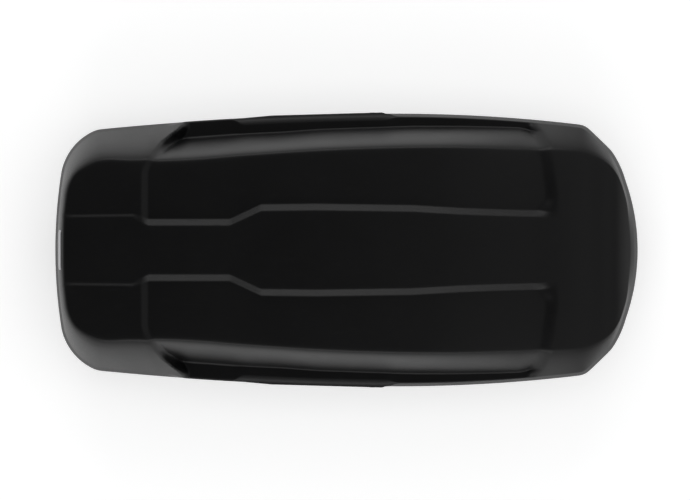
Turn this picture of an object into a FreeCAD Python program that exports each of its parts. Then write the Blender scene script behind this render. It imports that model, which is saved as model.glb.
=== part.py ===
import FreeCAD, Part
import math
import os

from FreeCAD import Vector

# A hard-shell roof cargo box that opens from both sides.
# Frame: +X towards the nose, +Y the vehicle's left, +Z up, origin on the ground line under the middle.
# Lengths are millimetres, and angles are degrees.

# Overall sizes
LENGTH = 1750.0
HALF_WIDTH = 409.5
CLAMP_DROP = 45.0
BOWL_DEPTH = 140.0
LID_RISE = 300.0
WALL = 4.0

# Lid: the rim is the parting plane, and the skirt hangs a little below it
SKIRT_BELOW_RIM = 8.0
SHELF_ABOVE_RIM = 45.0
SKIRT_DRAFT = 3.0
LID_SIDE_LEAN = 110.0
LID_REAR_LEAN = 54.0
LID_NOSE_LEAN = 40.0
PANEL_STEP = 13.0
SPINE_EDGE = 82.0
BLOCK_LENGTH = 250.0
WIDEST_X = 125.0

# Hinge and claws: one axis along X on each side
HINGE_SET_IN = 37.5
HINGE_ABOVE_RIM = 8.0
CLAW_STATIONS = (-340.0, -20.0, 300.0)
CLAW_LENGTH = 36.0
CLAW_RADIUS = 9.95
STRIKER_RADIUS = 4.0
CLAW_MOUTH_GAP = 0.35
SADDLE_GAP = 0.05
SADDLE_HALF_WIDTH = 14.0
EAR_THICKNESS = 3.0
EAR_GAP = 2.0

# Bowl
FLANGE_BELOW_RIM = 4.0
FLANGE_THICKNESS = 4.0
FLANGE_SET_IN = 26.0
FLANGE_HINGE_GAP = 8.0
BOWL_TOP_SET_IN = 68.0
BOWL_TOP_END_SET_IN = 46.0
BOWL_FLOOR_SET_IN = 104.0
BOWL_FLOOR_END_SET_IN = 80.0
FLOOR_FLAT_REAR = -535.0
FLOOR_FLAT_FRONT = 465.0
NOSE_FLOOR_RISE = 100.0
REAR_FLOOR_RISE = 80.0

# Lid rails and what runs in them
RAIL_OUTSIDE_HINGE = 6.0
RAIL_WIDTH = 24.0
RAIL_DEPTH = 20.0
RAIL_WALL = 2.5
RAIL_END_REAR = -470.0
RAIL_END_FRONT = 470.0
LOCK_BAR_WIDTH = 3.0
LOCK_BAR_HEIGHT = 8.0
LOCK_BAR_DROP = 5.0
LOCK_BAR_TRAVEL = 10.0
LOCK_BAR_GAP = 0.6
RAIL_SCREW_STATIONS = (-440.0, -250.0, -110.0, 80.0, 200.0, 400.0)
SCREW_RADIUS = 2.5
SCREW_HEAD_RADIUS = 4.5
SCREW_HEAD_HEIGHT = 2.0
SCREW_BITE = 3.0

# Lid struts: two cross at each end of the box
STRUT_STATION = 435.0
STRUT_HALF_SPACING = 18.0
STRUT_HEAD_SET_IN = 124.5
STRUT_HEAD_ABOVE_RIM = 95.0
STRUT_TUBE_RADIUS = 8.0
STRUT_ROD_RADIUS = 4.0
STRUT_TUBE_LENGTH = 420.0
STRUT_EYE_RADIUS = 8.0
STRUT_EYE_WIDTH = 10.0
STRUT_NECK_RADIUS = 4.0
STRUT_NECK_LENGTH = 27.0
STRUT_ROD_OVERLAP = 190.0
STRUT_PIN_RADIUS = 3.0
STRUT_HEAD_BOSS_RADIUS = 6.5
STRUT_FIT_GAP = 0.05
BRACKET_THICKNESS = 4.0
BRACKET_GAP = 2.0
BRACKET_WINDOW = 12.0
BRACKET_WINDOW_GAP = 1.6

# Side handle and lock, on the lid's skirt
TRIM_REAR = -301.0
TRIM_FULL = -222.0
TRIM_FRONT = 116.0
TRIM_THICKNESS = 3.0
HANDLE_REAR = -200.0
HANDLE_FRONT = 30.0
HANDLE_TOP_ABOVE_RIM = 36.0
HANDLE_THICKNESS = 5.0
HANDLE_GAP = 1.0
HANDLE_TOP_GAP = 3.6
HANDLE_PIN_RADIUS = 2.5
HANDLE_PIN_BELOW_TOP = 7.0
HANDLE_PIN_DEPTH = 9.0
HANDLE_KNUCKLE_RADIUS = 4.5
COLLAR_WALL = 3.0
COLLAR_DEPTH = 15.0
FIT_GAP = 0.3
KEY_X = 80.0
KEY_ABOVE_RIM = 20.0
KEY_RADIUS = 9.0
KEY_LENGTH = 20.0
KEY_PROUD = 1.0
KEY_GAP = 0.1
KEY_SLOT_LENGTH = 9.0
KEY_SLOT_WIDTH = 1.8
KEY_SLOT_DEPTH = 4.0

# Roof-bar clamps
CLAMP_REAR_X = -380.0
CLAMP_FRONT_X = 315.0
CLAMP_SET_IN = 187.5
CLAMP_TRAVEL = 60.0
BAR_WIDTH = 80.0
BAR_HEIGHT = 30.0
BAR_PLAY = 0.5
SEAT_THICKNESS = 5.0
JAW_WIDTH = 24.0
JAW_ARM = 8.0
JAW_PIVOT_RADIUS = 3.0
JAW_PIVOT_GAP = 0.05
JAW_HUB_RADIUS = 8.0
JAW_TOE_REACH = 26.0
JAW_PIVOT_ABOVE_RAIL = 14.0
JAW_LEVER_REACH = 36.0
JAW_LEVER_HEIGHT = 7.0
CARRIAGE_LENGTH = 134.0
CARRIAGE_WIDTH = 62.0
CARRIAGE_HEIGHT = 36.0
CARRIAGE_WALL = 4.0
BASE_RAIL_WIDTH = 84.0
BASE_RAIL_THICKNESS = 3.0
BASE_RAIL_REAR = -525.0
BASE_RAIL_FRONT = 462.0
SLOT_SIDE_GAP = 3.0
KNOB_RADIUS = 30.0
KNOB_HEIGHT = 24.0
KNOB_LIFT = 0.5
KNOB_LOBES = 6
KNOB_SCALLOP = 9.0
SPINDLE_RADIUS = 5.0
SPINDLE_GAP = 0.05
SPINDLE_PLATE_RADIUS = 19.0
SPINDLE_PLATE = 4.0
BASE_RIVET_STATIONS = (-515.0, -200.0, -35.0, 130.0, 452.0)
RIVET_RADIUS = 3.0
RIVET_HEAD_RADIUS = 6.0
RIVET_HEAD_HEIGHT = 2.5

# Smaller pieces
STIFFENER_STATIONS = (-250.0, 190.0)
STIFFENER_WIDTH = 30.0
STIFFENER_HEIGHT = 22.0
STIFFENER_ABOVE_RIM = 215.0
BADGE_WIDTH = 118.0
BADGE_HEIGHT = 40.0
BADGE_BELOW_TOP = 34.0
BADGE_THICKNESS = 2.0

# Levels and places worked out from the sizes above
REAR_END = -LENGTH / 2
NOSE_END = LENGTH / 2
HINGE_Y = HALF_WIDTH - HINGE_SET_IN
RAIL_OUTER_Y = HINGE_Y + RAIL_OUTSIDE_HINGE
STRUT_HEAD_Y = HALF_WIDTH - STRUT_HEAD_SET_IN
CLAMP_Y = HALF_WIDTH - CLAMP_SET_IN
FLOOR_Z = CLAMP_DROP
FLOOR_INSIDE_Z = FLOOR_Z + WALL
RIM_Z = CLAMP_DROP + BOWL_DEPTH
LID_TOP_Z = RIM_Z + LID_RISE
SHELF_Z = RIM_Z + SHELF_ABOVE_RIM
SKIRT_Z = RIM_Z - SKIRT_BELOW_RIM
FLANGE_Z = RIM_Z - FLANGE_BELOW_RIM
HINGE_Z = RIM_Z + HINGE_ABOVE_RIM
RAIL_TOP_Z = SHELF_Z - WALL
RAIL_Y = RAIL_OUTER_Y - RAIL_WIDTH / 2
BASE_RAIL_Z = FLOOR_INSIDE_Z + BASE_RAIL_THICKNESS
JAW_PIVOT_Z = BASE_RAIL_Z + JAW_PIVOT_ABOVE_RAIL
JAW_PIVOT_X = BAR_WIDTH / 2 + JAW_ARM + 2 * BAR_PLAY
CARRIAGE_TOP_Z = BASE_RAIL_Z + CARRIAGE_HEIGHT
STRUT_HEAD_Z = RIM_Z + STRUT_HEAD_ABOVE_RIM
BIG = 2 * LENGTH
SIDES = {"left": 1, "right": -1}
CLAMPS = {"rear_left": (CLAMP_REAR_X, CLAMP_Y), "rear_right": (CLAMP_REAR_X, -CLAMP_Y),
          "front_left": (CLAMP_FRONT_X, CLAMP_Y), "front_right": (CLAMP_FRONT_X, -CLAMP_Y)}


def box(x0, x1, y0, y1, z0, z1):
    return Part.makeBox(x1 - x0, y1 - y0, z1 - z0, Vector(x0, y0, z0))


def cylinder(start, direction, length, radius):
    return Part.makeCylinder(radius, length, start, direction)


def prism(points, direction):
    wire = Part.makePolygon(points + [points[0]])
    return Part.Face(wire).extrude(direction)


def plan_prism(points, z0, z1):
    return prism([Vector(x, y, z0) for x, y in points], Vector(0, 0, z1 - z0))


def side_prism(points, y0, y1):
    return prism([Vector(x, y0, z) for x, z in points], Vector(0, y1 - y0, 0))


def cross_prism(points, x0, x1):
    return prism([Vector(x0, y, z) for y, z in points], Vector(x1 - x0, 0, 0))


def mirrored(shape, side):
    if side > 0:
        return shape
    return shape.mirror(Vector(0, 0, 0), Vector(0, 1, 0))


def arc(points):
    return Part.Arc(*points).toShape()


# Plan outline of the rim: each stretch is an arc through three points, or a line
def outline(z, side_in, rear_in, nose_in):
    def place(x, y):
        along = (x - REAR_END) * (LENGTH - rear_in - nose_in) / LENGTH
        return Vector(REAR_END + rear_in + along, y * (HALF_WIDTH - side_in) / HALF_WIDTH, z)

    rear_corner = [(REAR_END + 19, HALF_WIDTH - 170), (REAR_END + 50, HALF_WIDTH - 104),
                   (REAR_END + 127, HALF_WIDTH - 47)]
    rear_side = [rear_corner[2], (-315, HALF_WIDTH - 14), (WIDEST_X, HALF_WIDTH)]
    front_side = [rear_side[2], (WIDEST_X + 330, HALF_WIDTH - 10), (NOSE_END - 173, HALF_WIDTH - 33)]
    front_corner = [front_side[2], (NOSE_END - 158, HALF_WIDTH - 37), (NOSE_END - 146, HALF_WIDTH - 46)]
    nose_corner = [(NOSE_END - 78, HALF_WIDTH - 112), (NOSE_END - 51, HALF_WIDTH - 160),
                   (NOSE_END - 35, HALF_WIDTH - 205)]
    edges = []
    for side in (1, -1):
        for points in (rear_corner, rear_side, front_side, front_corner, nose_corner):
            edges.append(arc([place(x, side * y) for x, y in points]))
        chamfer = [place(x, side * y) for x, y in (front_corner[2], nose_corner[0])]
        edges.append(Part.makeLine(*chamfer))
    for corner, middle in ((rear_corner[0], REAR_END), (nose_corner[2], NOSE_END)):
        edges.append(arc([place(corner[0], -corner[1]), place(middle, 0), place(*corner)]))
    return Part.Wire(Part.__sortEdges__(edges))


def loft(wires):
    return Part.makeLoft(wires, True, True)


# Side view of the lid's top, lowered by drop
def lid_profile(drop):
    def point(x_from_rear, height):
        return Vector(REAR_END + x_from_rear, -BIG / 2, RIM_Z + height - drop)

    rear_top = point(-20, LID_RISE - 37)
    crown = point(LENGTH * 0.457, LID_RISE - 1)
    brow = point(LENGTH - 150, LID_RISE - 145)
    tip = point(LENGTH + 2, 34)
    edges = [arc([rear_top, point(350, LID_RISE - 4), crown]),
             arc([crown, point(1225, LID_RISE - 48), brow]),
             arc([brow, point(LENGTH - 55, LID_RISE - 193), tip])]
    below = [tip, point(LENGTH + 2, -60), point(-20, -60), rear_top]
    edges.append(Part.makePolygon(below))
    return Part.Face(Part.Wire(edges)).extrude(Vector(0, BIG, 0))


def lid_form(inset, drop):
    wires = [outline(SKIRT_Z - (1 if inset > 0 else 0), inset, inset, inset),
             outline(SHELF_Z - drop, SKIRT_DRAFT + inset, SKIRT_DRAFT + inset, SKIRT_DRAFT + inset),
             outline(LID_TOP_Z, LID_SIDE_LEAN + inset, LID_REAR_LEAN + inset, LID_NOSE_LEAN + inset)]
    return loft(wires).common(lid_profile(drop))


# Plan of the recessed side panel: spine edge, rear end, shelf and front end
PANEL_PLAN = [(REAR_END + 287, SPINE_EDGE + 21), (REAR_END + 310, SPINE_EDGE), (REAR_END + 540, SPINE_EDGE),
              (REAR_END + 632, SPINE_EDGE + 43), (NOSE_END - 672, SPINE_EDGE + 42),
              (NOSE_END - 303, SPINE_EDGE + 26), (NOSE_END - 261, SPINE_EDGE + 21), (NOSE_END - 259, 174),
              (NOSE_END - 275, HALF_WIDTH - 122), (NOSE_END - 313, HALF_WIDTH - 40),
              (NOSE_END - 313, HALF_WIDTH + 40), (REAR_END + 390, HALF_WIDTH + 40),
              (REAR_END + 390, HALF_WIDTH - 60), (REAR_END + 335, HALF_WIDTH - 94),
              (REAR_END + 315, HALF_WIDTH - 122), (REAR_END + 298, HALF_WIDTH - 150), (REAR_END + 287, 230)]


def panel_zone(grow, side):
    wire = Part.makePolygon([Vector(x, y, SHELF_Z - grow) for x, y in PANEL_PLAN + PANEL_PLAN[:1]])
    if grow:
        wire = wire.makeOffset2D(grow, 2)
    zone = Part.Face(wire).extrude(Vector(0, 0, LID_RISE + WALL))
    return mirrored(zone, side)


# The lower body between the rear block and the nose block, whose walls lean in from the shelf
def recessed_form(inset):
    def section(z, rear_y, middle_y, front_y):
        rear_x = REAR_END + BLOCK_LENGTH + inset
        front_x = NOSE_END - BLOCK_LENGTH - inset
        edges = []
        for side in (1, -1):
            edges.append(arc([Vector(rear_x, side * (rear_y - inset), z),
                              Vector(0, side * (middle_y - inset), z),
                              Vector(front_x, side * (front_y - inset), z)]))
        edges.append(Part.makeLine(Vector(rear_x, inset - rear_y, z), Vector(rear_x, rear_y - inset, z)))
        edges.append(Part.makeLine(Vector(front_x, inset - front_y, z), Vector(front_x, front_y - inset, z)))
        return Part.Wire(Part.__sortEdges__(edges))

    low = section(SHELF_Z - 2 * WALL, HALF_WIDTH - 91, HALF_WIDTH - 43, HALF_WIDTH - 53)
    high = section(LID_TOP_Z, HALF_WIDTH - 166, HALF_WIDTH - 115, HALF_WIDTH - 124)
    return loft([low, high]).common(lid_profile(PANEL_STEP + inset))


def lid_solid(inset):
    form = lid_form(inset, inset)
    for side in (1, -1):
        form = form.cut(panel_zone(inset, side))
    return form.fuse(recessed_form(inset))


def handle_notch():
    return box(HANDLE_REAR, HANDLE_FRONT, HINGE_Y + SADDLE_HALF_WIDTH, HALF_WIDTH + 20,
               SKIRT_Z - 1, RIM_Z + HANDLE_TOP_ABOVE_RIM)


def lid_shell(cavity):
    shell = lid_solid(0).cut(cavity)
    for side in SIDES.values():
        shell = shell.cut(mirrored(handle_notch(), side))
        shell = shell.cut(key_hole(side, KEY_GAP))
        shell = shell.cut(mirrored(rail_screws(FIT_GAP / 6), side))
    return shell


# Bowl
def floor_profile(rise):
    points = [(REAR_END - 20, FLOOR_Z + REAR_FLOOR_RISE), (FLOOR_FLAT_REAR, FLOOR_Z),
              (FLOOR_FLAT_FRONT, FLOOR_Z), (NOSE_END + 20, FLOOR_Z + NOSE_FLOOR_RISE),
              (NOSE_END + 20, LID_TOP_Z), (REAR_END - 20, LID_TOP_Z)]
    return side_prism([(x, z + rise) for x, z in points], -BIG / 2, BIG / 2)


def bowl_form(inset, top_z):
    wires = [outline(FLOOR_Z, BOWL_FLOOR_SET_IN + inset, BOWL_FLOOR_END_SET_IN + inset,
                     BOWL_FLOOR_END_SET_IN + inset),
             outline(top_z, BOWL_TOP_SET_IN + inset, BOWL_TOP_END_SET_IN + inset,
                     BOWL_TOP_END_SET_IN + inset)]
    return loft(wires).common(floor_profile(inset))


def flange():
    rim = outline(FLANGE_Z - FLANGE_THICKNESS, FLANGE_SET_IN, FLANGE_SET_IN, FLANGE_SET_IN)
    plate = Part.Face(rim).extrude(Vector(0, 0, FLANGE_THICKNESS))
    edge = HINGE_Y - FLANGE_HINGE_GAP
    return plate.common(box(REAR_END, NOSE_END, -edge, edge, 0, LID_TOP_Z))


def clamp_slot(x, y, z0, z1):
    half = JAW_PIVOT_X + JAW_ARM + CLAMP_TRAVEL + 2 * SLOT_SIDE_GAP
    reach = JAW_WIDTH / 2 + SLOT_SIDE_GAP
    return box(x - half, x + half, y - reach, y + reach, z0, z1)


def bowl():
    shell = bowl_form(0, FLANGE_Z).fuse(flange())
    shell = shell.cut(bowl_form(WALL, FLANGE_Z + 0.01))
    for x, y in CLAMPS.values():
        shell = shell.cut(clamp_slot(x, y, FLOOR_Z - 1, BASE_RAIL_Z))
    for side in SIDES.values():
        shell = shell.cut(mirrored(base_rivets(FIT_GAP / 6), side))
    return shell


# Strikers: a round pin held by two ears that stand on the flange
def striker(x, half_gap, radius):
    pieces = []
    for end in (1, -1):
        inner = x + end * half_gap
        outer = inner + end * EAR_THICKNESS
        foot = outer + end * 9
        low, high = sorted((inner, outer))
        foot_low, foot_high = sorted((inner, foot))
        pieces.append(cross_prism([(HINGE_Y - 18, FLANGE_Z), (HINGE_Y - 18, FLANGE_Z + 4),
                                   (HINGE_Y - 5, HINGE_Z + 6), (HINGE_Y + 6, HINGE_Z + 6),
                                   (HINGE_Y + 6, HINGE_Z - 6), (HINGE_Y - 8, FLANGE_Z)], low, high))
        pieces.append(box(foot_low, foot_high, HINGE_Y - 30, HINGE_Y - 9, FLANGE_Z, FLANGE_Z + 2))
    length = 2 * (half_gap + EAR_THICKNESS)
    pin = cylinder(Vector(x - length / 2, HINGE_Y, HINGE_Z), Vector(1, 0, 0), length, radius)
    return pin.multiFuse(pieces)


def strikers(side):
    claw_gap = CLAW_LENGTH / 2 + EAR_GAP
    pieces = [striker(x, claw_gap, STRIKER_RADIUS) for x in CLAW_STATIONS]
    for x in strut_feet(side):
        pieces.append(striker(x, STRUT_EYE_WIDTH / 2 + EAR_GAP, STRIKER_RADIUS))
    return mirrored(Part.makeCompound(pieces), side)


# Claws: slotted barrels that sit over the striker pins with their mouths downwards
def claw(x):
    start = Vector(x - CLAW_LENGTH / 2, HINGE_Y, HINGE_Z)
    barrel = cylinder(start, Vector(1, 0, 0), CLAW_LENGTH, CLAW_RADIUS)
    mouth = STRIKER_RADIUS + CLAW_MOUTH_GAP
    barrel = barrel.cut(cylinder(start, Vector(1, 0, 0), CLAW_LENGTH, mouth))
    return barrel.cut(box(start.x, start.x + CLAW_LENGTH, HINGE_Y - mouth, HINGE_Y + mouth,
                          HINGE_Z - 2 * CLAW_RADIUS, HINGE_Z))


def claws(side):
    return mirrored(Part.makeCompound([claw(x) for x in CLAW_STATIONS]), side)


# Lid rail: a channel under the shelf with a saddle over each claw
def saddle(x):
    half = CLAW_LENGTH / 2
    block = box(x - half, x + half, HINGE_Y - SADDLE_HALF_WIDTH, HINGE_Y + SADDLE_HALF_WIDTH,
                HINGE_Z, RAIL_TOP_Z - RAIL_WALL)
    bore = cylinder(Vector(x - half, HINGE_Y, HINGE_Z), Vector(1, 0, 0), CLAW_LENGTH,
                    CLAW_RADIUS + SADDLE_GAP)
    return block.cut(bore)


def lock_bar_box(gap, extra):
    top = RAIL_TOP_Z - RAIL_WALL - LOCK_BAR_DROP
    half = LOCK_BAR_WIDTH / 2 + gap
    return box(CLAW_STATIONS[0] - 30 - extra, CLAW_STATIONS[-1] + 30 + extra, RAIL_Y - half, RAIL_Y + half,
               top - LOCK_BAR_HEIGHT - gap, top + gap)


def rail_screws(gap):
    pieces = []
    seat = RAIL_TOP_Z - RAIL_WALL
    for x in RAIL_SCREW_STATIONS:
        shank = cylinder(Vector(x, RAIL_Y, seat), Vector(0, 0, 1), RAIL_WALL + SCREW_BITE, SCREW_RADIUS + gap)
        head = cylinder(Vector(x, RAIL_Y, seat - SCREW_HEAD_HEIGHT), Vector(0, 0, 1), SCREW_HEAD_HEIGHT,
                        SCREW_HEAD_RADIUS)
        pieces.append(shank if gap else shank.fuse(head))
    return Part.makeCompound(pieces)


def lid_rail(side):
    outer = box(RAIL_END_REAR, RAIL_END_FRONT, RAIL_OUTER_Y - RAIL_WIDTH, RAIL_OUTER_Y,
                RAIL_TOP_Z - RAIL_DEPTH, RAIL_TOP_Z)
    inner = box(RAIL_END_REAR, RAIL_END_FRONT, RAIL_OUTER_Y - RAIL_WIDTH + RAIL_WALL,
                RAIL_OUTER_Y - RAIL_WALL, RAIL_TOP_Z - RAIL_DEPTH, RAIL_TOP_Z - RAIL_WALL)
    rail = outer.cut(inner).multiFuse([saddle(x) for x in CLAW_STATIONS])
    rail = rail.cut(lock_bar_box(LOCK_BAR_GAP, LOCK_BAR_TRAVEL + 5))
    rail = rail.cut(rail_screws(FIT_GAP / 6))
    return mirrored(rail, side)


def lock_bar(side):
    return mirrored(lock_bar_box(0, 0), side)


# Struts. A strut's foot is on one side's hinge axis, and its head is by the other side's wall.
def strut_feet(side):
    return (-STRUT_STATION - side * STRUT_HALF_SPACING, STRUT_STATION + side * STRUT_HALF_SPACING)


def strut_tube(x):
    foot = Vector(x, HINGE_Y, HINGE_Z)
    head = Vector(x, -STRUT_HEAD_Y, STRUT_HEAD_Z)
    along = (head - foot).normalize()
    eye = cylinder(foot - Vector(STRUT_EYE_WIDTH / 2, 0, 0), Vector(1, 0, 0), STRUT_EYE_WIDTH,
                   STRUT_EYE_RADIUS)
    neck = cylinder(foot, along, STRUT_NECK_LENGTH, STRUT_NECK_RADIUS)
    tube = cylinder(foot + along * STRUT_NECK_LENGTH, along, STRUT_TUBE_LENGTH - STRUT_NECK_LENGTH,
                    STRUT_TUBE_RADIUS)
    pin_hole = cylinder(foot - Vector(STRUT_EYE_WIDTH, 0, 0), Vector(1, 0, 0), 2 * STRUT_EYE_WIDTH,
                        STRIKER_RADIUS + STRUT_FIT_GAP)
    bore = cylinder(foot + along * (2 * STRUT_NECK_LENGTH), along, STRUT_TUBE_LENGTH,
                    STRUT_ROD_RADIUS + STRUT_FIT_GAP)
    return eye.multiFuse([neck, tube]).cut(pin_hole).cut(bore)


def strut_rod(x):
    foot = Vector(x, HINGE_Y, HINGE_Z)
    head = Vector(x, -STRUT_HEAD_Y, STRUT_HEAD_Z)
    along = (head - foot).normalize()
    start = foot + along * (STRUT_TUBE_LENGTH - STRUT_ROD_OVERLAP)
    rod = cylinder(start, along, (head - start).Length, STRUT_ROD_RADIUS)
    pin_length = STRUT_ROD_RADIUS + BRACKET_GAP + BRACKET_THICKNESS + BRACKET_GAP
    pin = cylinder(head, Vector(bracket_side(x), 0, 0), pin_length, STRUT_PIN_RADIUS)
    boss = cylinder(head - Vector(STRUT_ROD_RADIUS, 0, 0), Vector(1, 0, 0), 2 * STRUT_ROD_RADIUS,
                    STRUT_HEAD_BOSS_RADIUS)
    return rod.multiFuse([pin, boss])


def bracket_side(x):
    return 1 if abs(x) > STRUT_STATION else -1


# A plate that hangs from the lid rail, with a window along the line from the head to the hinge axis
def strut_bracket(x):
    near = x + bracket_side(x) * (STRUT_ROD_RADIUS + BRACKET_GAP)
    low, high = sorted((near, near + bracket_side(x) * BRACKET_THICKNESS))
    inner_y = RAIL_OUTER_Y - RAIL_WIDTH
    top = RAIL_TOP_Z - FIT_GAP
    bottom = RAIL_TOP_Z - RAIL_DEPTH + 1
    plate = cross_prism([(inner_y, bottom), (inner_y, top), (inner_y - 26, top),
                         (STRUT_HEAD_Y + 10, STRUT_HEAD_Z + 12), (STRUT_HEAD_Y - 8, STRUT_HEAD_Z + 12),
                         (STRUT_HEAD_Y - 14, STRUT_HEAD_Z - 8), (STRUT_HEAD_Y + 22, bottom)], low, high)
    towards = Vector(0, HINGE_Y - STRUT_HEAD_Y, HINGE_Z - STRUT_HEAD_Z).normalize()
    start = Vector(low, STRUT_HEAD_Y, STRUT_HEAD_Z)
    radius = STRUT_PIN_RADIUS + BRACKET_WINDOW_GAP
    end = start + towards * BRACKET_WINDOW
    across = Vector(0, -towards.z, towards.y) * radius
    window = prism([start + across, end + across, end - across, start - across],
                   Vector(BRACKET_THICKNESS, 0, 0))
    ends = [cylinder(point, Vector(1, 0, 0), BRACKET_THICKNESS, radius) for point in (start, end)]
    return plate.cut(window.multiFuse(ends))


def strut_brackets():
    pieces = []
    for foot_side in SIDES.values():
        for x in strut_feet(foot_side):
            pieces.append(mirrored(strut_bracket(x), -foot_side))
    return Part.makeCompound(pieces)


# Side trim, handle and key barrel. The trim lies on the skirt, and its collar lines the notch.
def skirt_line(x):
    lean = (x - TRIM_REAR) / (TRIM_FRONT - TRIM_REAR)
    return HALF_WIDTH - 11.0 + 11.0 * lean


def side_trim(side, lid_outer):
    outer = HALF_WIDTH + TRIM_THICKNESS
    plate = plan_prism([(TRIM_REAR, HALF_WIDTH - 30), (TRIM_REAR, skirt_line(TRIM_REAR) - 2),
                        (TRIM_FULL, skirt_line(TRIM_FULL) + TRIM_THICKNESS), (TRIM_FRONT - 8, outer),
                        (TRIM_FRONT, outer - 2), (TRIM_FRONT, HALF_WIDTH - 30)],
                       SKIRT_Z, RIM_Z + HANDLE_TOP_ABOVE_RIM + COLLAR_WALL)
    plate = plate.cut(lid_outer)
    notch = handle_notch()
    collar_box = box(HANDLE_REAR + FIT_GAP, HANDLE_FRONT - FIT_GAP, HALF_WIDTH - COLLAR_DEPTH - 7, outer,
                     SKIRT_Z, RIM_Z + HANDLE_TOP_ABOVE_RIM - FIT_GAP)
    collar_box = collar_box.common(plan_prism([(TRIM_REAR, HALF_WIDTH - 40),
                                               (TRIM_REAR, skirt_line(TRIM_REAR) + TRIM_THICKNESS),
                                               (TRIM_FRONT, outer), (TRIM_FRONT, HALF_WIDTH - 40)],
                                              SKIRT_Z - 5, LID_TOP_Z))
    hollow = box(HANDLE_REAR + FIT_GAP + COLLAR_WALL, HANDLE_FRONT - FIT_GAP - COLLAR_WALL,
                 HALF_WIDTH - 80, HALF_WIDTH + 40, SKIRT_Z - 5,
                 RIM_Z + HANDLE_TOP_ABOVE_RIM - FIT_GAP - COLLAR_WALL)
    trim = plate.cut(notch).fuse(collar_box.cut(plate.common(notch))).fuse(plate.common(notch))
    trim = trim.cut(hollow)
    trim = trim.cut(handle_pin_at(FIT_GAP / 15)).cut(key_hole(1, KEY_GAP))
    return mirrored(trim, side)


def handle_axis():
    z = RIM_Z + HANDLE_TOP_ABOVE_RIM - FIT_GAP - COLLAR_WALL - HANDLE_PIN_BELOW_TOP
    rear = Vector(HANDLE_REAR, skirt_line(HANDLE_REAR) + TRIM_THICKNESS - HANDLE_PIN_DEPTH, z)
    front = Vector(HANDLE_FRONT, skirt_line(HANDLE_FRONT) + TRIM_THICKNESS - HANDLE_PIN_DEPTH, z)
    return rear, (front - rear).normalize()


def handle_pin_at(gap):
    rear, along = handle_axis()
    start = rear + along * (2 * FIT_GAP)
    length = HANDLE_FRONT - HANDLE_REAR - 4 * FIT_GAP
    return cylinder(start, along, length, HANDLE_PIN_RADIUS + gap)


def handle(side):
    rear, along = handle_axis()
    ends = COLLAR_WALL + FIT_GAP + HANDLE_GAP
    x0, x1 = HANDLE_REAR + ends, HANDLE_FRONT - ends
    top = rear.z + HANDLE_PIN_BELOW_TOP - HANDLE_TOP_GAP
    face = TRIM_THICKNESS - FIT_GAP
    plate = plan_prism([(x0, skirt_line(x0) + face - HANDLE_THICKNESS), (x0, skirt_line(x0) + face),
                        (x1, skirt_line(x1) + face), (x1, skirt_line(x1) + face - HANDLE_THICKNESS)],
                       SKIRT_Z + 1, top)
    knuckle = cylinder(rear + along * ends, along, x1 - x0, HANDLE_KNUCKLE_RADIUS)
    knuckle = knuckle.common(box(x0, x1, 0, HALF_WIDTH, 0, LID_TOP_Z))
    web = plan_prism([(x0, skirt_line(x0) + TRIM_THICKNESS - HANDLE_PIN_DEPTH),
                      (x0, skirt_line(x0) + face - 1), (x1, skirt_line(x1) + face - 1),
                      (x1, skirt_line(x1) + TRIM_THICKNESS - HANDLE_PIN_DEPTH)],
                     rear.z - HANDLE_KNUCKLE_RADIUS + 1, rear.z + HANDLE_PIN_BELOW_TOP - HANDLE_TOP_GAP)
    grip = plate.multiFuse([knuckle, web]).cut(handle_pin_at(FIT_GAP / 6))
    return mirrored(grip, side)


# Drawn outwards on its own side
def key_hole(side, gap):
    outer = skirt_line(KEY_X) + TRIM_THICKNESS + KEY_PROUD
    length = KEY_LENGTH + KEY_PROUD + gap
    start = Vector(KEY_X, side * (outer - length), RIM_Z + KEY_ABOVE_RIM)
    return cylinder(start, Vector(0, side, 0), length, KEY_RADIUS + gap)


def key_barrel(side):
    barrel = key_hole(1, 0)
    outer = skirt_line(KEY_X) + TRIM_THICKNESS + KEY_PROUD
    z = RIM_Z + KEY_ABOVE_RIM
    slot = box(KEY_X - KEY_SLOT_WIDTH / 2, KEY_X + KEY_SLOT_WIDTH / 2, outer - KEY_SLOT_DEPTH, outer,
               z - KEY_SLOT_LENGTH / 2, z + KEY_SLOT_LENGTH / 2)
    return mirrored(barrel.cut(slot), side)


# Pieces on the bowl's floor
def base_rivets(gap):
    pieces = []
    for x in BASE_RIVET_STATIONS:
        for shift in (-1, 1):
            y = CLAMP_Y + shift * (BASE_RAIL_WIDTH / 2 - 2 * RIVET_HEAD_RADIUS)
            shank = cylinder(Vector(x, y, FLOOR_Z), Vector(0, 0, 1), BASE_RAIL_Z - FLOOR_Z,
                             RIVET_RADIUS + gap)
            head = cylinder(Vector(x, y, BASE_RAIL_Z), Vector(0, 0, 1), RIVET_HEAD_HEIGHT, RIVET_HEAD_RADIUS)
            pieces.append(shank if gap else shank.fuse(head))
    return Part.makeCompound(pieces)


def base_rail(side):
    rail = box(BASE_RAIL_REAR, BASE_RAIL_FRONT, CLAMP_Y - BASE_RAIL_WIDTH / 2, CLAMP_Y + BASE_RAIL_WIDTH / 2,
               FLOOR_INSIDE_Z, BASE_RAIL_Z)
    for x in (CLAMP_REAR_X, CLAMP_FRONT_X):
        rail = rail.cut(clamp_slot(x, CLAMP_Y, FLOOR_INSIDE_Z - 1, BASE_RAIL_Z + 1))
    return mirrored(rail.cut(base_rivets(FIT_GAP / 6)), side)


def bar_seats():
    pieces = []
    near = JAW_WIDTH / 2 + 2 * SLOT_SIDE_GAP
    half = BAR_WIDTH / 2 + CLAMP_TRAVEL
    for x, y in CLAMPS.values():
        for shift in (-1, 1):
            low, high = sorted((y + shift * near, y + shift * (near + 16)))
            pieces.append(box(x - half, x + half, low, high, FLOOR_Z - SEAT_THICKNESS, FLOOR_Z))
    return Part.makeCompound(pieces)


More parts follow.
